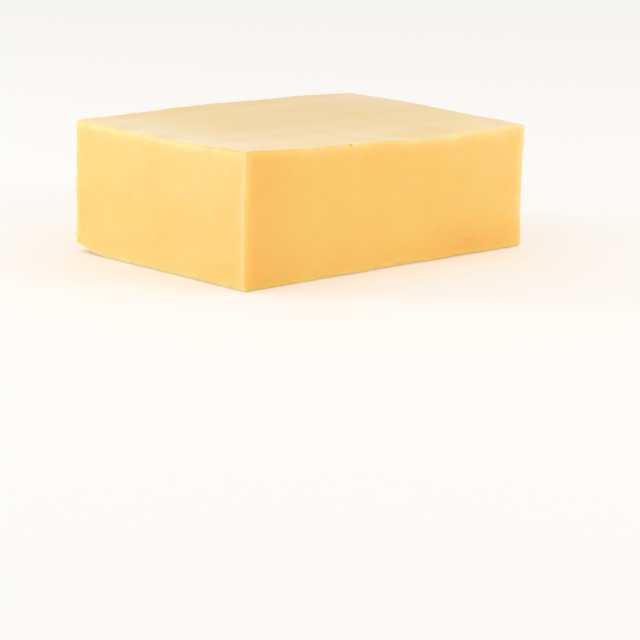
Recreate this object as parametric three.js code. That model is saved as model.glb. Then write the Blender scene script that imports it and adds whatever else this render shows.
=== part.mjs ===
// A block of pale cheddar, cut by wire from a larger one. Millimetres, +Z up.
// The origin is at the middle of the underside, +X runs along the long side and +Y to the back.
// The block is a cuboid a little out of square: its arrises are soft, its cut faces bow and wander,
// the wire took a few shallow scoops out of the top arrises, and one lower corner is worn away.
import * as THREE from "three";
import { mergeVertices } from "three/addons/utils/BufferGeometryUtils.js";

// Driving dimensions of the block, before it goes out of square.
const LENGTH = 132.8;
const WIDTH = 87.6;
const HEIGHT = 45;
const ARRIS_RADIUS = 0.9;

// How far the top lies above HEIGHT at its four corners, left end first.
const TOP_LIFT = { front: [0.6, -1.1], back: [0.75, 0.8] };
// How far each edge of the top bows above the straight line between its corners.
const TOP_BOW = { front: -1, back: 1.1, left: -0.8, right: 0.4 };
// How far the middle of the top sags below all that.
const TOP_DISH = 0.7;

// Shallow scoops in the top arrises: the middle of each, how far it reaches and how deep it goes.
const SCOOPS = [
  { x: -66, y: 20, reach: 6, depth: 0.35 },
  { x: -66, y: -5, reach: 5.5, depth: 0.35 },
  { x: 13, y: -43, reach: 8, depth: 0.6 },
  { x: 29, y: -43, reach: 11, depth: 0.65 },
];

// The cut faces wander in and out by a long and a short wave.
const LONG_WAVE = { length: 53, height: 0.1 };
const SHORT_WAVE = { length: 19, height: 0.04 };

// The lower corner at the left end and the back is worn away upwards.
const WORN_CORNER = { rise: 3, reach: 19, depth: 14 };

const CELL = 4.3; // spacing of the mesh over a cut face
const ARRIS_STEPS = 2; // mesh steps between a face and the middle of an arris
const CHEDDAR_COLOUR = 0xf9cf7d;
const CHEDDAR_ROUGHNESS = 0.5;

const HALF_LENGTH = LENGTH / 2;
const HALF_WIDTH = WIDTH / 2;
const HALF_HEIGHT = HEIGHT / 2;

// Places of the mesh lines along one side: even over the flat stretch, then close together
// in such steps that each turns the arris by the same angle.
function meshLines(side) {
  const flat = side / 2 - ARRIS_RADIUS;
  const cells = Math.round((2 * flat) / CELL);
  const middle = Array.from({ length: cells + 1 }, (_, i) => flat * ((2 * i) / cells - 1));
  const arris = Array.from(
    { length: ARRIS_STEPS },
    (_, i) => flat + ARRIS_RADIUS * Math.tan((Math.PI / 4) * ((i + 1) / ARRIS_STEPS)),
  );
  return [...arris.map((place) => -place).reverse(), ...middle, ...arris];
}

// Pulls a point of the sharp cuboid in to the soft one: a point near an edge goes round the arris.
function softenArris(point) {
  const flat = new THREE.Vector3(HALF_LENGTH, HALF_WIDTH, HALF_HEIGHT).subScalar(ARRIS_RADIUS);
  const core = point.clone().clamp(flat.clone().negate(), flat);
  return core.add(point.clone().sub(core).setLength(ARRIS_RADIUS));
}

// How far a cut face stands out at a place on it, across and up. Each face has its own phase.
function wander(across, up, phase) {
  const turn = (place, { length }, shift) => Math.sin((2 * Math.PI * place) / length + shift);
  const wave = (size, shift) => size.height * (turn(across, size, shift) + turn(up, size, 2 * shift));
  return wave(LONG_WAVE, phase) + wave(SHORT_WAVE, 3 * phase);
}

// How far the top is above HEIGHT over a point of the plan.
function topRise(x, y) {
  const { lerp } = THREE.MathUtils;
  const right = x / LENGTH + 0.5;
  const back = y / WIDTH + 0.5;
  const bow = (part) => 4 * part * (1 - part);
  const corners = lerp(lerp(...TOP_LIFT.front, right), lerp(...TOP_LIFT.back, right), back);
  const bows =
    lerp(TOP_BOW.front, TOP_BOW.back, back) * bow(right) +
    lerp(TOP_BOW.left, TOP_BOW.right, right) * bow(back);
  const scoops = SCOOPS.map(
    (scoop) => scoop.depth * Math.exp(-((Math.hypot(x - scoop.x, y - scoop.y) / scoop.reach) ** 2)),
  );
  const dish = TOP_DISH * bow(right) * bow(back);
  return corners + bows - dish - scoops.reduce((sum, depth) => sum + depth);
}

// How far the worn corner lifts the block's skin at a point: all of it at the tip, nothing further up.
function wornRise({ x, y, z }) {
  const along = Math.hypot(x + HALF_LENGTH, y - HALF_WIDTH) / WORN_CORNER.reach;
  const up = z / WORN_CORNER.depth;
  return WORN_CORNER.rise * Math.max(0, 1 - along) ** 2 * Math.max(0, 1 - up) ** 2;
}

// Moves a point of the true cuboid, whose underside is at z = 0, to its place in the uneven block.
function goOutOfSquare(point) {
  const { x, y, z } = point;
  const height = z / HEIGHT;
  point.x += (x / HALF_LENGTH) * wander(y, z, Math.sign(x));
  point.y += (y / HALF_WIDTH) * wander(x, z, 2 * Math.sign(y));
  point.z += height * (topRise(x, y) + wander(x, y, 3)) + wornRise({ x, y, z });
}

function blockGeometry() {
  const lines = [LENGTH, WIDTH, HEIGHT].map(meshLines);
  const box = new THREE.BoxGeometry(1, 1, 1, ...lines.map((places) => places.length - 1));
  box.deleteAttribute("normal");
  box.deleteAttribute("uv");
  const geometry = mergeVertices(box);
  const position = geometry.getAttribute("position");
  const placeOf = (part, places) => places[Math.round((part + 0.5) * (places.length - 1))];
  for (let i = 0; i < position.count; i++) {
    const corner = new THREE.Vector3().fromBufferAttribute(position, i).toArray();
    const point = softenArris(new THREE.Vector3(...corner.map((part, axis) => placeOf(part, lines[axis]))));
    point.z += HALF_HEIGHT;
    goOutOfSquare(point);
    position.setXYZ(i, point.x, point.y, point.z);
  }
  return geometry;
}

// Puts the middle of the underside at the origin.
function standOnOrigin(geometry) {
  geometry.computeBoundingBox();
  const middle = geometry.boundingBox.getCenter(new THREE.Vector3());
  geometry.translate(-middle.x, -middle.y, -geometry.boundingBox.min.z);
  geometry.computeVertexNormals();
  return geometry;
}

const cheddar = new THREE.MeshStandardMaterial({
  color: CHEDDAR_COLOUR,
  roughness: CHEDDAR_ROUGHNESS,
  metalness: 0,
});
const block = new THREE.Mesh(standOnOrigin(blockGeometry()), cheddar);
block.name = "cheddar_block";

const group = new THREE.Group();
group.add(block);

export default group;
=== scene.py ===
import math

import bmesh
import bpy
import numpy as np
from mathutils import Matrix, Vector, noise


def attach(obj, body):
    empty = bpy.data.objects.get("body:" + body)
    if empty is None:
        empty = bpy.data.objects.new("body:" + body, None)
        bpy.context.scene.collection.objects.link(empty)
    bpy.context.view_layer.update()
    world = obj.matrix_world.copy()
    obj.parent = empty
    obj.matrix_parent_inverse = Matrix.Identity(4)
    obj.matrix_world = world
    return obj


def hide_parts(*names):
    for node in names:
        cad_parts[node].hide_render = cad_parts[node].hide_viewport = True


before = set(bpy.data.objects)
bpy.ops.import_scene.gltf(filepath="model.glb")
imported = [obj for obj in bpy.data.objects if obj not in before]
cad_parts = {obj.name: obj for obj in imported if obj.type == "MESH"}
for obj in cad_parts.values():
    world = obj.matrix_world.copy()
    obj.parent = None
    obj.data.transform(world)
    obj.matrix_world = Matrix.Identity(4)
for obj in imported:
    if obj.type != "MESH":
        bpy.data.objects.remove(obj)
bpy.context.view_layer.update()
mm = 0.001  # sizes below are in millimetres, meshes in metres
print("frame loaded:", sorted(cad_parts))


def linearColour(hexCode):  # sRGB hex to the linear colour that shaders and lights want
    parts = [int(hexCode[i : i + 2], 16) / 255 for i in (1, 3, 5)]
    return (*(c / 12.92 if c <= 0.04045 else ((c + 0.055) / 1.055) ** 2.4 for c in parts), 1.0)


def addNode(tree, kind, inputs=None, **settings):  # an input is a value, or a socket to link from
    node = tree.nodes.new(kind)
    for name, value in settings.items():
        setattr(node, name, value)
    for name, value in (inputs or {}).items():
        if isinstance(value, bpy.types.NodeSocket):
            tree.links.new(value, node.inputs[name])
        else:
            node.inputs[name].default_value = value
    return node


def showObject(name, mesh):
    thing = bpy.data.objects.new(name, mesh)
    bpy.context.scene.collection.objects.link(thing)
    return thing


# the block's shape: a true cuboid, whose arrises go soft and which then goes out of square

block = {
    "length": 132.8,  # along X
    "width": 87.6,
    "height": 45,
    "arris": 0.9,  # radius of the soft edges
    # the top's corners above the height, left end first
    "topLift": {"front": (0.6, -1.1), "back": (0.75, 0.8)},
    # each top edge's bow above straight
    "topBow": {"front": -1, "back": 1.1, "left": -0.8, "right": 0.4},
    "dish": 0.7,  # how far the middle of the top sags
    "scoops": [  # x, y, reach and depth
        (-66, 20, 6, 0.35),
        (-66, -5, 5.5, 0.35),
        (13, -43, 8, 0.6),
        (29, -43, 11, 0.65),
    ],
    "waves": [(53, 0.1, 1), (19, 0.04, 3)],  # length, height and phase of the cut faces' wander
    "worn": {"rise": 3, "reach": 19, "depth": 14},  # the lower corner at the left end and the back
}
size = np.array([block["length"], block["width"], block["height"]])
half = size / 2


def topRise(x, y):
    right, back = x / size[0] + 0.5, y / size[1] + 0.5
    lift, bow = block["topLift"], block["topBow"]
    front, rear = (
        lift[side][0] * (1 - right) + lift[side][1] * right for side in ("front", "back")
    )
    rise = front * (1 - back) + rear * back
    rise += (bow["front"] * (1 - back) + bow["back"] * back) * 4 * right * (1 - right)
    rise += (bow["left"] * (1 - right) + bow["right"] * right) * 4 * back * (1 - back)
    rise -= block["dish"] * 16 * right * (1 - right) * back * (1 - back)
    for scoopX, scoopY, reach, depth in block["scoops"]:
        rise -= depth * np.exp(-((x - scoopX) ** 2 + (y - scoopY) ** 2) / reach**2)
    return rise


def wander(across, up, face):  # face: any number, to make each face's wander its own
    rise = 0
    for length, height, phase in block["waves"]:
        acrossTurn = np.sin(2 * math.pi * across / length + phase * face)
        upTurn = np.sin(2 * math.pi * up / length + 2 * phase * face)
        rise = rise + height * (acrossTurn + upTurn)
    return rise


def goOutOfSquare(points):  # points of the soft cuboid, with its underside at z = 0
    x, y, z = points.T
    worn = block["worn"]
    along = np.hypot(x + half[0], y - half[1]) / worn["reach"]
    wornRise = worn["rise"] * np.clip(1 - along, 0, 1) ** 2
    wornRise = wornRise * np.clip(1 - z / worn["depth"], 0, 1) ** 2
    columns = [
        x + x / half[0] * wander(y, z, np.sign(x)),
        y + y / half[1] * wander(x, z, 2 * np.sign(y)),
        z + z / size[2] * (topRise(x, y) + wander(x, y, 3)) + wornRise,
    ]
    return np.stack(columns, axis=1)


# the cut skin, its small marks and its broad changes of tone; those broad changes are painted light
# and shade

marks = {  # place, reach along x y z, how far the skin stands out, change of tone (plus is paler)
    "dark dot": ((-56.1, -43.8, 27.7), (0.6, 2, 0.6), -0.08, -0.09),
    "pale spot": ((-40.2, -43.8, 28.7), (1.4, 2, 1.1), 0.0, 0.06),
    "pale streak": ((-26.3, -43.8, 9.7), (0.7, 2, 1.6), 0.03, 0.09),
    "dark dash": ((38.3, -43.8, 6.0), (2.2, 2, 0.6), -0.06, -0.07),
    "deep streak": ((4.4, -43.8, 40.1), (2.2, 2, 0.7), -0.05, -0.10),
    "dark speck": ((26.5, -43.8, 36.4), (0.7, 2, 0.6), -0.07, -0.08),
    # painted shade: the nick's hollow is darkened
    "nick": ((-20.3, -43.6, 45.0), (0.8, 0.9, 0.7), -0.5, -0.28),
    "chip beside the nick": ((-18.3, -43.6, 45.0), (1.1, 1, 0.7), 0.25, 0.30),
    "rim fleck": ((2.0, -41.5, 45.0), (1.3, 0.8, 2), 0.08, 0.25),
    "lip at the worn corner": ((-66.2, 43.6, 4.2), (2.2, 2.4, 1.6), 0.45, 0.05),
}
paintedLightAndShade = {  # place, reach along x y z, and change of tone, all of them painted light and shade
    # painted glow: light through the near edge makes this band deeper and more orange
    "front face by the near edge": ((-63, -43.8, 22), (15, 3, 60), -0.12),
    # painted highlight on the near upright arris
    "near upright arris": ((-66.4, -42.6, 22), (0.9, 2.3, 80), 0.13),
    # painted highlight on the far upright arris, where light comes through
    "far upright arris": ((66.3, -43.6, 22), (4, 3, 80), 0.1),
    # painted light, brighter towards the front face's right end
    "front face by the right end": ((64, -43.8, 28), (30, 3, 35), 0.045),
    # painted shade over the foot
    "deep patch over the foot": ((38, -43.8, 3), (19, 3, 9), -0.17),
    # painted shade at the top's far right corner
    "far right corner of the top": ((66, 44, 45), (50, 38, 4), -0.16),
    # painted light on the lit left end
    "left end": ((-66.4, 0, 22), (2, 60, 60), 0.03),
    # painted light on the top's left end
    "left end of the top": ((-64, 10, 46), (24, 50, 1.5), 0.2),
    # painted shade at the top's near corner
    "near corner of the top": ((-58, -35, 46), (30, 19, 1.5), -0.26),
    # painted light along the right part of the top's front rim
    "front rim of the top, right part": ((42, -40, 45), (28, 12, 4), 0.09),
}
skin = {
    "cell": 1.0,  # mesh spacing over a face
    "arrisSteps": 3,
    "gradedSteps": (0.25, 0.35, 0.5, 0.75),  # spacing from an arris inwards
    "arrisBand": 1.4,  # how far in from an arris the mesh is cut twice as fine along it
    "longEdge": 0.8,  # an edge in that band is cut if it is longer than this
    "markBand": 1.6,  # how far round a mark the mesh is cut three times as fine
    "swell": (11, 0.07),  # size and height of the curd's swell
    "pucker": (3.5, 0.025),
    "raggedArris": (2.6, 0.08),  # length of the nibbles along an arris and how deep they go
    "chippedArris": (8, 0.3, 0.35),  # and how strong the noise has to be before it chips
    "arrisReach": 1.1,  # how far in from an arris it is nibbled
    "dryArrisAndHighlight": (2.2, 0.12),  # how far in from an arris it is paler, and by how much: partly drier, partly a painted highlight
    "dryAndHighlightUneven": (4, 0.6),  # length and strength of that paleness's unevenness
    "teeth": {  # steps of the torn foot, left to right: place, height and run-out
        "front": [(-34, 1.6, 10), (-9, 1.4, 9), (1.5, 1.2, 14), (30, 1.1, 12)],
        "left": [(-30, 0.2, 8), (-2, 0.25, 10), (16, 0.3, 8)],
    },
    "toothRise": 0.7,  # how far along the foot a step takes to rise
    "raggedFoot": (5, 0.22, 0.2),  # length and height of its nibbles, and their squeeze across it
    "footReach": 2.8,  # how high the torn foot goes
    "footInset": 1.5,  # how far in from the faces it goes
    "footBand": 3,  # how near to a face a point has to be to belong to its foot
    "freshTone": 0.5,
    "paintedShadeAtFoot": (15, 0.1),  # painted shade: how high the front face is deeper in tone, and by how much at the foot
    # how far in from its left and front the top has dried, so rougher, and how much paler it is
    # painted there as painted light
    "dryAndLitTop": {"left": 25, "front": 15, "paler": 0.02},
    # crumbs come in clusters: length, contrast and threshold of the noise, and the lowest height
    "crumbClusters": (9, 4, 0.6, 40),
    # where each noise is read, so that no two are alike
    "shifts": {"pucker": 7, "ragged": 19, "chipped": 31, "foot": 40, "dryAndLit": 53, "crumbs": 71},
}


def meshLines(side):
    flat = side / 2 - block["arris"]
    steps = np.arange(1, skin["arrisSteps"] + 1) / skin["arrisSteps"]
    arris = flat + block["arris"] * np.tan(math.pi / 4 * steps)
    graded = flat - np.cumsum(skin["gradedSteps"])
    cells = round(2 * graded[-1] / skin["cell"])
    middle = np.linspace(-graded[-1], graded[-1], cells + 1)
    edge = np.concatenate([graded[-2::-1], [flat], arris])
    return np.concatenate([-edge[::-1], middle, edge])


def cuboidShell():  # the six gridded faces of the true cuboid, joined along the edges
    lines = [meshLines(side) for side in size]
    last = [len(places) - 1 for places in lines]
    numbers = {}
    quads = []
    for across, up, fixed in ((0, 1, 2), (1, 2, 0), (2, 0, 1)):
        for end in (0, last[fixed]):
            for i in range(last[across]):
                for j in range(last[up]):
                    corners = []
                    for a, b in ((i, j), (i + 1, j), (i + 1, j + 1), (i, j + 1)):
                        step = [0, 0, 0]
                        step[across], step[up], step[fixed] = a, b, end
                        corners.append(numbers.setdefault(tuple(step), len(numbers)))
                    quads.append(corners if end else corners[::-1])
    shell = bmesh.new()
    vertices = [shell.verts.new([lines[axis][step[axis]] for axis in range(3)]) for step in numbers]
    for quad in quads:
        shell.faces.new([vertices[n] for n in quad])
    return shell


def refineShell(shell):
    inner = half - skin["arrisBand"]
    alongArris = []
    for edge in shell.edges:
        start, end = (np.abs(vertex.co) > inner for vertex in edge.verts)
        if (start & end).sum() >= 2 and edge.calc_length() > skin["longEdge"]:
            alongArris.append(edge)
    bmesh.ops.subdivide_edges(shell, edges=alongArris, cuts=1, use_grid_fill=True)
    faces = list(shell.faces)
    middles = np.array([face.calc_center_median() for face in faces])
    roundMarks = set()
    for place, reach, *rest in marks.values():
        window = np.array(reach) + skin["markBand"]
        near = (np.abs(middles + [0, 0, half[2]] - place) < window).all(axis=1)
        for n in np.flatnonzero(near):
            roundMarks.update(faces[n].edges)
    bmesh.ops.subdivide_edges(shell, edges=list(roundMarks), cuts=2, use_grid_fill=True)


def noiseAt(points, length, shift=0):
    return np.array([noise.noise(Vector(point)) for point in points / length + shift])


def footLift(sharp):  # the lower arris tore in steps as the block was lifted
    x, y, z = sharp.T
    run = np.where(half[1] - np.abs(y) < half[0] - np.abs(x), x, y)  # along the nearest face
    length, height, stretch = skin["raggedFoot"]
    along = np.stack([run, x * stretch, y * stretch], axis=1)
    lift = height * np.abs(noiseAt(along, length, skin["shifts"]["foot"]))
    fromFront, fromLeft = np.abs(y + half[1]), np.abs(x + half[0])
    for side, teeth in skin["teeth"].items():
        onSide = (fromFront if side == "front" else fromLeft) < skin["footBand"]
        for place, step, runOut in teeth:
            after = run - place
            rise = np.clip(after / skin["toothRise"], 0, 1)
            lift += onSide * step * rise * np.exp(-np.clip(after, 0, None) / runOut)
    gap = np.minimum(half[0] - np.abs(x), half[1] - np.abs(y))
    lift = lift * np.clip(1 - (z + half[2]) / skin["footReach"], 0, 1)
    return lift * np.clip(1 - gap / skin["footInset"], 0, 1)


def skinStand(points, rim):  # how far the skin stands out, without its marks
    shifts = skin["shifts"]
    length, height = skin["swell"]
    stand = height * noiseAt(points, length)
    length, height = skin["pucker"]
    stand += height * noiseAt(points, length, shifts["pucker"])
    length, depth = skin["raggedArris"]
    stand -= depth * rim * np.abs(noiseAt(points, length, shifts["ragged"]))
    length, depth, threshold = skin["chippedArris"]
    chips = np.abs(noiseAt(points, length, shifts["chipped"])) - threshold
    return stand - depth * rim * np.clip(chips, 0, None)


def paintLightAndShade(tone, points, outward, dryAndLit):  # adds the painted light and shade that reach over whole faces
    # painted light: the top is painted paler towards its left end and front
    tone = tone + skin["dryAndLitTop"]["paler"] * dryAndLit
    for place, reach, change in paintedLightAndShade.values():
        tone = tone + change * np.exp(-(((points - place) / reach) ** 2).sum(1))
    # painted shade, deeper towards the foot of the front face
    height, deeper = skin["paintedShadeAtFoot"]
    onFront = np.clip(-outward[:, 1], 0, 1)
    return tone - deeper * onFront * np.clip(1 - points[:, 2] / height, 0, 1)


def makeBlock():
    shell = cuboidShell()
    refineShell(shell)
    sharp = np.array([vertex.co for vertex in shell.verts])
    core = np.clip(sharp, block["arris"] - half, half - block["arris"])
    outward = sharp - core
    outward /= np.linalg.norm(outward, axis=1)[:, None]
    points = core + block["arris"] * outward + [0, 0, half[2]]
    print("shell cut:", len(points), "points")

    gap = np.sort(half - np.abs(sharp), axis=1)[:, 1]  # from the nearest arris
    rim = np.exp(-((gap / skin["arrisReach"]) ** 2))
    stand = skinStand(points, rim)
    # the arrises are painted paler: partly drier, partly a painted highlight on the soft edge
    reach, paler = skin["dryArrisAndHighlight"]
    length, strength = skin["dryAndHighlightUneven"]
    uneven = 1 + strength * noiseAt(points, length, skin["shifts"]["dryAndLit"])
    tone = skin["freshTone"] + paler * np.exp(-((gap / reach) ** 2)) * uneven
    for place, reach, out, change in marks.values():
        near = np.exp(-(((points - place) / reach) ** 2).sum(1))
        stand += out * near
        tone += change * near
    stand *= np.clip(1 + 2 * outward[:, 2], 0, 1)  # the underside stays flat
    points = points + stand[:, None] * outward
    points[:, 2] += footLift(sharp)

    # the top's left end and front: rougher, and painted paler as painted light
    fromLeft, fromFront = sharp[:, 0] + half[0], sharp[:, 1] + half[1]
    dryAndLitTop = skin["dryAndLitTop"]
    dryAndLit = np.exp(-fromLeft / dryAndLitTop["left"]) + np.exp(-fromFront / dryAndLitTop["front"])
    dryAndLit = np.clip(outward[:, 2], 0, 1) * np.clip(dryAndLit, 0, 1)
    tone = paintLightAndShade(tone, points, outward, dryAndLit)

    points = goOutOfSquare(points)
    low, high = points.min(0), points.max(0)
    points -= [*(low + high)[:2] / 2, low[2]]  # the middle of the underside is the origin
    for vertex, place in zip(shell.verts, points * mm):
        vertex.co = place
    mesh = bpy.data.meshes.new("cheddar_cut")
    shell.to_mesh(mesh)
    shell.free()
    mesh.shade_smooth()
    length, contrast, threshold, lowest = skin["crumbClusters"]
    clusters = contrast * noiseAt(points, length, skin["shifts"]["crumbs"]) - threshold
    crumbly = rim * np.clip(clusters, 0, 1) * (points[:, 2] > lowest)
    for name, values in {"tone": tone, "dryAndLit": dryAndLit, "crumbly": crumbly}.items():
        spread = mesh.attributes.new(name, "FLOAT", "POINT").data
        spread.foreach_set("value", values.astype(np.float32))
    return showObject("cheddar_cut", mesh)


# Cheddar, cut by wire: a dense waxy curd. Light goes a few millimetres in, so the arrises glow
# and the shadows stay warm.

cheddar = {
    "tones": {  # darkest where shade is painted into a pit, palest where a crumb dries
        0.0: "#BC7620",
        0.30: "#F5BD54",
        0.5: "#FCCA64",
        0.75: "#FDDE9D",
        1.0: "#FEEECA",
    },
    "mottle": (15, 0.065),  # size and strength of the curd's uneven tone
    "speckle": (2.5, 0.035),
    "waxGrain": (0.7, 0.012),  # size and height of the fine bumps
    "drag": (1.1, 45, 0.012),  # the wire's lines: spacing, length and height
    "roughness": (0.42, 0.72),  # fresh from the wire, and dry
    "scatter": (1.0, 0.42, 0.12),  # how far red, green and blue go, as shares of the reach
    "scatterReach": 5,
    "bloom": 0.79,  # dry bloom of the cut faces, white when seen at a low angle
    "bloomRoughness": 0.3,
    "ior": 1.48,
}


def cheddarMaterial():
    material = bpy.data.materials.new("cheddar, wire-cut")
    material.use_nodes = True
    tree = material.node_tree
    tree.nodes.clear()
    place = addNode(tree, "ShaderNodeTexCoord").outputs["Object"]
    tone = addNode(tree, "ShaderNodeAttribute", attribute_name="tone").outputs["Fac"]
    for length, strength in (cheddar["mottle"], cheddar["speckle"]):
        cloud = addNode(
            tree, "ShaderNodeTexNoise",
            {"Vector": place, "Scale": 1 / (length * mm), "Detail": 2.0},
        ).outputs["Fac"]
        shift = addNode(tree, "ShaderNodeMath", {0: cloud, 1: 0.5}, operation="SUBTRACT").outputs[0]
        tone = addNode(
            tree, "ShaderNodeMath", {0: shift, 1: 2 * strength, 2: tone}, operation="MULTIPLY_ADD"
        ).outputs[0]
    ramp = addNode(tree, "ShaderNodeValToRGB", {"Fac": tone})
    stops = ramp.color_ramp.elements
    for at, hexCode in cheddar["tones"].items():
        stop = stops[0] if at == 0 else stops[-1] if at == 1 else stops.new(at)
        stop.color = linearColour(hexCode)

    length, height = cheddar["waxGrain"]
    grain = addNode(
        tree, "ShaderNodeTexNoise", {"Vector": place, "Scale": 1 / (length * mm), "Detail": 3.0}
    )
    bumped = addNode(
        tree, "ShaderNodeBump",
        {"Height": grain.outputs["Fac"], "Distance": height * mm, "Strength": 1.0},
    )
    spacing, length, height = cheddar["drag"]
    lines = addNode(
        tree, "ShaderNodeMapping",
        {"Vector": place, "Scale": (1 / (length * mm), 1 / (length * mm), 1 / (spacing * mm))},
    )
    drag = addNode(
        tree, "ShaderNodeTexNoise", {"Vector": lines.outputs[0], "Scale": 1.0, "Detail": 2.0}
    )
    bumped = addNode(
        tree, "ShaderNodeBump",
        {
            "Height": drag.outputs["Fac"],
            "Distance": height * mm,
            "Strength": 1.0,
            "Normal": bumped.outputs[0],
        },
    )
    dryAndLit = addNode(tree, "ShaderNodeAttribute", attribute_name="dryAndLit").outputs["Fac"]
    fresh, dull = cheddar["roughness"]
    roughness = addNode(
        tree, "ShaderNodeMapRange", {"Value": dryAndLit, "To Min": fresh, "To Max": dull}
    ).outputs[0]
    shader = addNode(
        tree, "ShaderNodeBsdfPrincipled",
        {
            "Base Color": ramp.outputs["Color"],
            "Roughness": roughness,
            "IOR": cheddar["ior"],
            "Normal": bumped.outputs[0],
            "Subsurface Weight": 1.0,
            "Subsurface Radius": cheddar["scatter"],
            "Subsurface Scale": cheddar["scatterReach"] * mm,
            "Sheen Weight": cheddar["bloom"],
            "Sheen Roughness": cheddar["bloomRoughness"],
        },
    )
    addNode(tree, "ShaderNodeOutputMaterial", {"Surface": shader.outputs["BSDF"]})
    return material


cheddarSkin = cheddarMaterial()
body = makeBlock()
body.data.materials.append(cheddarSkin)
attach(body, "root")
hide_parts("cheddar_block")
print("block cut:", len(body.data.polygons), "faces")

# crumbs that cling to the arrises

crumbs = {
    "density": 40000,  # a square metre, where the arris is at its most crumbly
    "small": 0.14,  # radii
    "large": 0.36,
    "seed": 12,
    "roundness": 2,  # subdivisions of the ball that a crumb starts as
    "faces": 80,  # of such a ball
    "dents": 1.3,  # scale of the noise that dents it
    "turn": 6.28,  # turned by up to this about each axis, in radians
    "tone": 0.72,
    "dryAndLit": 1.0,
}


def scatterCrumbs(host):
    tree = bpy.data.node_groups.new("crumbs", "GeometryNodeTree")
    face = tree.interface
    face.new_socket("Geometry", in_out="INPUT", socket_type="NodeSocketGeometry")
    settings = {
        "Density": ("NodeSocketFloat", float(crumbs["density"])),
        "Smallest": ("NodeSocketFloat", crumbs["small"] * mm),
        "Largest": ("NodeSocketFloat", crumbs["large"] * mm),
        "Seed": ("NodeSocketInt", crumbs["seed"]),
    }
    sockets = {}
    for name, (kind, value) in settings.items():
        sockets[name] = face.new_socket(name, in_out="INPUT", socket_type=kind)
    face.new_socket("Geometry", in_out="OUTPUT", socket_type="NodeSocketGeometry")
    given = addNode(tree, "NodeGroupInput").outputs
    crumbly = addNode(
        tree, "GeometryNodeInputNamedAttribute", {"Name": "crumbly"}, data_type="FLOAT"
    ).outputs["Attribute"]
    density = addNode(
        tree, "ShaderNodeMath", {0: crumbly, 1: given["Density"]}, operation="MULTIPLY"
    )
    points = addNode(
        tree, "GeometryNodeDistributePointsOnFaces",
        {"Mesh": given["Geometry"], "Density": density.outputs[0], "Seed": given["Seed"]},
    )
    ball = addNode(
        tree, "GeometryNodeMeshIcoSphere", {"Radius": 1.0, "Subdivisions": crumbs["roundness"]}
    )
    dents = addNode(tree, "ShaderNodeTexNoise", {"Scale": crumbs["dents"]})
    dented = addNode(
        tree, "ShaderNodeVectorMath",
        {0: dents.outputs["Color"], 1: (0.5, 0.5, 0.5)}, operation="SUBTRACT",
    )
    crumb = addNode(
        tree, "GeometryNodeSetPosition",
        {"Geometry": ball.outputs["Mesh"], "Offset": dented.outputs[0]},
    )
    turn = addNode(
        tree, "FunctionNodeRandomValue", {"Seed": given["Seed"]}, data_type="FLOAT_VECTOR"
    )
    turn.inputs["Max"].default_value = (crumbs["turn"],) * 3
    grow = addNode(tree, "FunctionNodeRandomValue", data_type="FLOAT")
    tree.links.new(given["Smallest"], grow.inputs[2])
    tree.links.new(given["Largest"], grow.inputs[3])
    placed = addNode(
        tree, "GeometryNodeInstanceOnPoints",
        {"Points": points.outputs["Points"], "Instance": crumb.outputs["Geometry"],
         "Rotation": turn.outputs["Value"], "Scale": grow.outputs[1]},
    )
    real = addNode(tree, "GeometryNodeRealizeInstances", {"Geometry": placed.outputs["Instances"]})
    dressed = addNode(
        tree, "GeometryNodeSetMaterial",
        {"Geometry": real.outputs["Geometry"], "Material": cheddarSkin},
    )
    addNode(tree, "NodeGroupOutput", {"Geometry": dressed.outputs["Geometry"]})

    piece = showObject("cheddar_crumbs", host.data)
    modifier = piece.modifiers.new("crumbs", "NODES")
    modifier.node_group = tree
    for name, (kind, value) in settings.items():
        modifier[sockets[name].identifier] = value
    finished = piece.evaluated_get(bpy.context.evaluated_depsgraph_get())
    mesh = bpy.data.meshes.new_from_object(finished)
    piece.modifiers.clear()
    piece.data = mesh
    mesh.shade_smooth()
    for name in ("tone", "dryAndLit"):  # the ones handed down from the block give way to even ones
        while mesh.attributes.get(name):
            mesh.attributes.remove(mesh.attributes[name])
        even = mesh.attributes.new(name, "FLOAT", "POINT").data
        even.foreach_set("value", np.full(len(mesh.vertices), crumbs[name], np.float32))
    return piece


loose = scatterCrumbs(body)
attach(loose, "root")
print("crumbs:", len(loose.data.polygons) // crumbs["faces"])

# floor, sky and lights

studio = {
    "floorReach": 3000,
    "floorColour": "#F4F2EE",
    "floorRoughness": 0.9,
    "floorGlow": 0.12,  # a little light of its own, so that it stays near white
    "sky": {"overhead": 0.95, "horizon": 0.1, "falloff": 3.0, "seen": 0.88},
    "key": {
        "place": (-700, 650, 130),
        "aim": (-60, 0, 20),
        "side": 280,
        "watts": 3.9,
        "colour": "#E4EEFF",
    },
    "fill": {
        "place": (580, -880, 210),
        "aim": (10, -40, 30),
        "side": 420,
        "watts": 2.7,
        "colour": "#FFF3E9",
    },
}


def makeFloor():
    mesh = bpy.data.meshes.new("floor")
    reach = studio["floorReach"] * mm
    corners = [(-reach, -reach, 0), (reach, -reach, 0), (reach, reach, 0), (-reach, reach, 0)]
    mesh.from_pydata(corners, [], [(0, 1, 2, 3)])
    # Matt white paint: the block leaves only a soft shadow and a warm stain of bounced light.
    material = bpy.data.materials.new("floor, matt white paint")
    material.use_nodes = True
    shader = material.node_tree.nodes["Principled BSDF"].inputs
    shader["Base Color"].default_value = linearColour(studio["floorColour"])
    shader["Roughness"].default_value = studio["floorRoughness"]
    shader["Emission Color"].default_value = (1, 1, 1, 1)
    shader["Emission Strength"].default_value = studio["floorGlow"]
    mesh.materials.append(material)
    showObject("floor", mesh)


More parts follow.
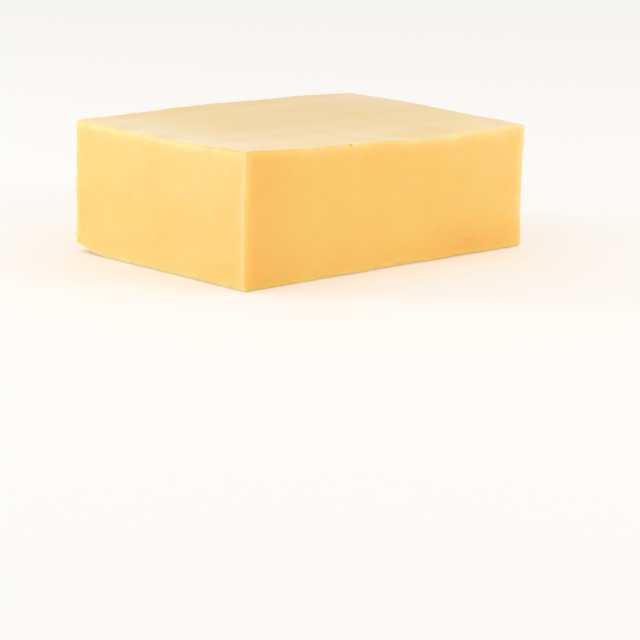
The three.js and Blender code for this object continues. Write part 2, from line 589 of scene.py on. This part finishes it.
def makeSky():  # a dome that is bright overhead and dim at the horizon
    sky = studio["sky"]
    world = bpy.data.worlds.new("studio")
    world.use_nodes = True
    tree = world.node_tree
    way = addNode(tree, "ShaderNodeTexCoord").outputs["Generated"]
    up = addNode(tree, "ShaderNodeSeparateXYZ", {0: way}).outputs["Z"]
    up = addNode(tree, "ShaderNodeMath", {0: up, 1: 0.0}, operation="MAXIMUM").outputs[0]
    down = addNode(tree, "ShaderNodeMath", {0: 1.0, 1: up}, operation="SUBTRACT").outputs[0]
    low = addNode(
        tree, "ShaderNodeMath", {0: down, 1: sky["falloff"]}, operation="POWER"
    ).outputs[0]
    dome = addNode(
        tree, "ShaderNodeMath", {0: low, 1: sky["horizon"] - sky["overhead"], 2: sky["overhead"]},
        operation="MULTIPLY_ADD",
    ).outputs[0]
    seen = addNode(tree, "ShaderNodeLightPath").outputs["Is Camera Ray"]
    strength = addNode(tree, "ShaderNodeMix", {0: seen, 2: dome, 3: sky["seen"]}).outputs[0]
    back = tree.nodes["Background"]
    back.inputs["Color"].default_value = (1, 1, 1, 1)
    tree.links.new(strength, back.inputs["Strength"])
    bpy.context.scene.world = world


def makeSoftbox(name):
    box = studio[name]
    light = bpy.data.lights.new(name, "AREA")
    light.size = box["side"] * mm
    light.energy = box["watts"]
    light.color = linearColour(box["colour"])[:3]
    lamp = showObject(name, light)
    place, aim = Vector(box["place"]) * mm, Vector(box["aim"]) * mm
    lamp.location = place
    lamp.rotation_euler = (aim - place).to_track_quat("-Z", "Y").to_euler()
    lamp.visible_camera = False


view = {
    "place": (-594.4, -622.7, 166.0),
    "heading": 44.15,  # degrees from +Y towards +X
    "downward": 12.55,
    "roll": 1.445,
    "lens": 140,
    "clipEnd": 20,  # metres
}


def placeCamera():
    camera = showObject("camera", bpy.data.cameras.new("camera"))
    camera.data.lens = view["lens"]
    camera.data.clip_end = view["clipEnd"]
    turns = ((-view["heading"], "Z"), (90 - view["downward"], "X"), (view["roll"], "Z"))
    placed = Matrix.Translation(Vector(view["place"]) * mm)
    for angle, axis in turns:
        placed = placed @ Matrix.Rotation(math.radians(angle), 4, axis)
    camera.matrix_world = placed
    bpy.context.scene.camera = camera


makeFloor()
makeSky()
makeSoftbox("key")
makeSoftbox("fill")
placeCamera()
bpy.context.scene.view_settings.view_transform = "Standard"
print("studio lit")
